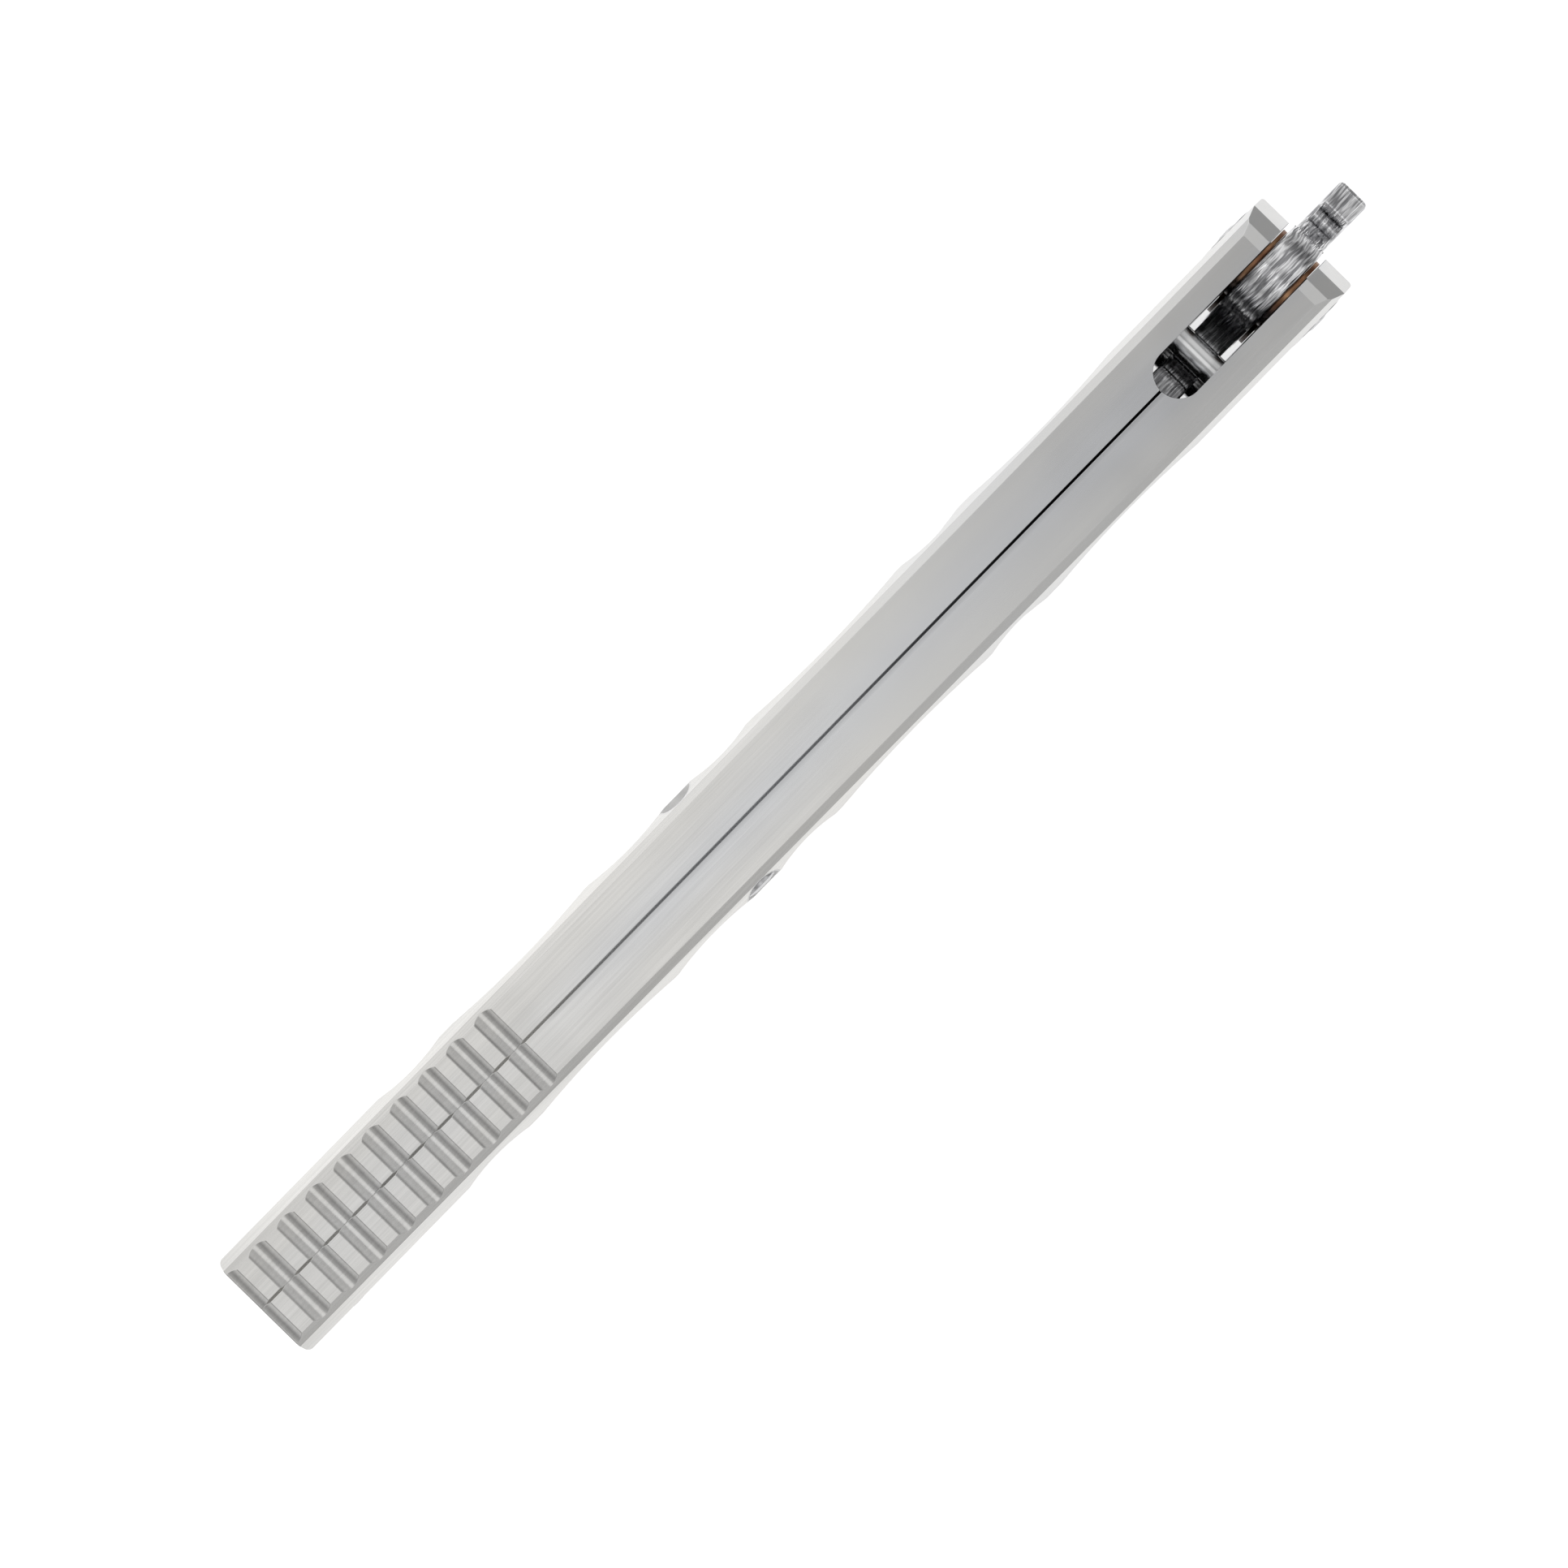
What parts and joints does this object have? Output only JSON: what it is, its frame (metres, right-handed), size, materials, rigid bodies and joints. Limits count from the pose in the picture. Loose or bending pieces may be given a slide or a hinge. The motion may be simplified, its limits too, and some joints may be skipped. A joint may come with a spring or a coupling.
{
  "type": "folding butterfly trainer",
  "caption": "Two-handle folding dexterity trainer with a blunt perforated blade, split channel handles, stop pins and grooved tails, shown closed.",
  "frame": {"origin": "centre of the footprint, on the flat face that the closed trainer stands on: the lower handle's spine", "axes": "+X along the handles from the tails to the tang tab, +Y across the thickness towards the left halves, +Z from the lower handle's spine to the upper handle's spine"},
  "size_m": [0.151, 0.0128, 0.0276],
  "materials": {
    "handle_steel": "satin stainless steel with fine lengthwise brushing",
    "blade_steel": "ground stainless steel with lengthwise grinding lines",
    "pin_steel": "ground and polished hardened steel",
    "collar_steel": "turned stainless steel",
    "screw_steel": "stainless steel screw with a hexagon socket",
    "washer_bronze": "phosphor bronze, darkened at the rim"
  },
  "bodies": {
    "blade": {"trainer_blade": "blade_steel"},
    "upper_handle": {"upper_left_half": "handle_steel", "upper_right_half": "handle_steel", "upper_stop_pin": "pin_steel", "upper_pivot_barrel": "pin_steel", "upper_pivot_collars": "collar_steel", "upper_pivot_screws": "screw_steel", "upper_left_washer": "washer_bronze", "upper_right_washer": "washer_bronze", "upper_middle_screw": "screw_steel", "upper_tail_screw": "screw_steel", "upper_dowels": "pin_steel"},
    "lower_handle": {"lower_left_half": "handle_steel", "lower_right_half": "handle_steel", "lower_stop_pin": "pin_steel", "lower_pivot_barrel": "pin_steel", "lower_pivot_collars": "collar_steel", "lower_pivot_screws": "screw_steel", "lower_left_washer": "washer_bronze", "lower_right_washer": "washer_bronze", "lower_middle_screw": "screw_steel", "lower_tail_screw": "screw_steel", "lower_dowels": "pin_steel"}
  },
  "joints": [
    {"name": "upper_pivot", "type": "hinge", "parent": "blade", "child": "upper_handle", "pos_m": [0.06345, 0, 0.0208], "axis": [0, 1, 0], "range_deg": [0, 180]},
    {"name": "lower_pivot", "type": "hinge", "parent": "blade", "child": "lower_handle", "pos_m": [0.06345, 0, 0.0068], "axis": [0, -1, 0], "range_deg": [0, 180]}
  ]
}
